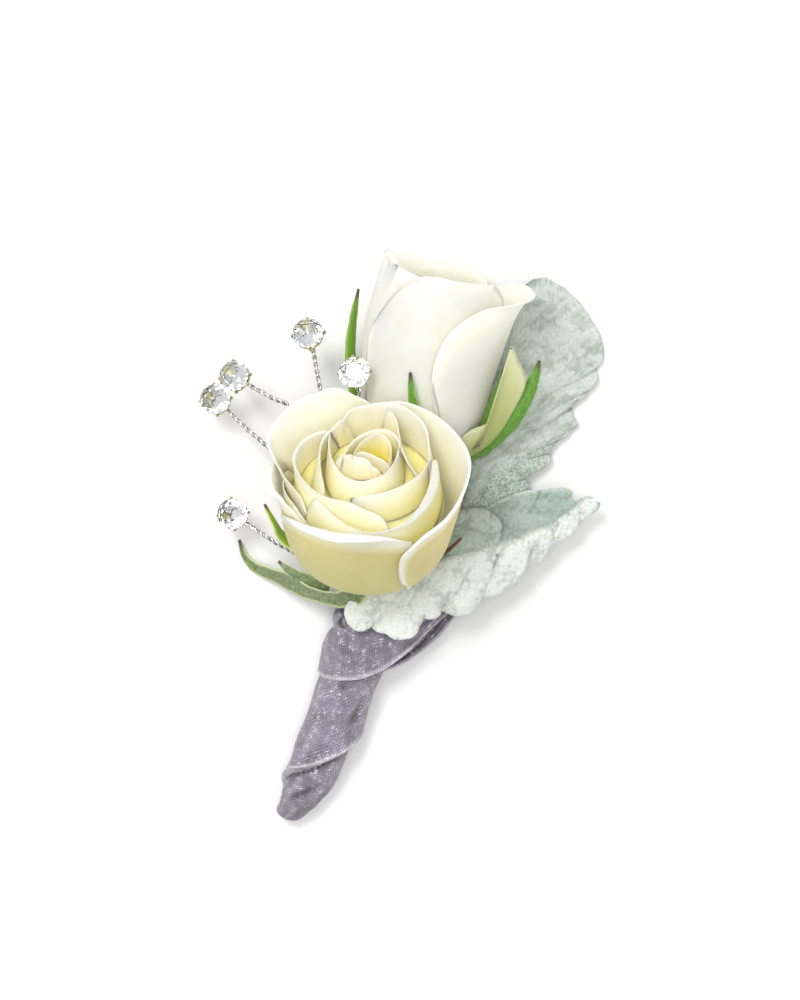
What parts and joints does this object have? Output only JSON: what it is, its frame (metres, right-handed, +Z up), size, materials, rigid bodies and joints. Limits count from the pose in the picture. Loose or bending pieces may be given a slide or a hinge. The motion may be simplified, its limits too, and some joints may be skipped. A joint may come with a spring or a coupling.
{
  "type": "boutonniere",
  "caption": "Boutonniere lying flat: open white rose and bud with silver felted leaves, wired crystals and a ribbon-wound stem.",
  "frame": {"origin": "on the table under the centre of the part's bounding box, as it lies", "axes": "+Y from the ribbon-wound tip to the bud's mouth, +Z up from the table, +X towards the lower silver leaf's tip"},
  "size_m": [0.0872, 0.125, 0.0552],
  "materials": {
    "open_petals": "soft, slightly translucent petal",
    "bud_petals": "soft, slightly translucent petal",
    "rose_green": "green sepal and stem, finely downy",
    "bud_green": "green sepal and stem, finely downy",
    "upper_felt": "felted silver leaf",
    "lower_felt": "felted silver leaf",
    "small_felt": "felted silver leaf",
    "ribbon": "sheer woven ribbon with a faint shimmer",
    "wire": "bright twisted wire",
    "crystal": "cut glass, foil backed",
    "setting": "gold-toned metal"
  },
  "bodies": {
    "root": {"rose_open_petals": "open_petals", "rose_open_calyx": "rose_green", "rose_bud_petals": "bud_petals", "rose_bud_calyx": "bud_green", "leaf_upper": "upper_felt", "leaf_lower": "lower_felt", "leaf_small": "small_felt", "ribbon": "ribbon", "crystal_spray": "wire", "crystal_1": "crystal", "setting_1": "setting", "crystal_2": "crystal", "setting_2": "setting", "crystal_3": "crystal", "setting_3": "setting", "crystal_4": "crystal", "setting_4": "setting", "crystal_5": "crystal", "setting_5": "setting"}
  },
  "joints": []
}
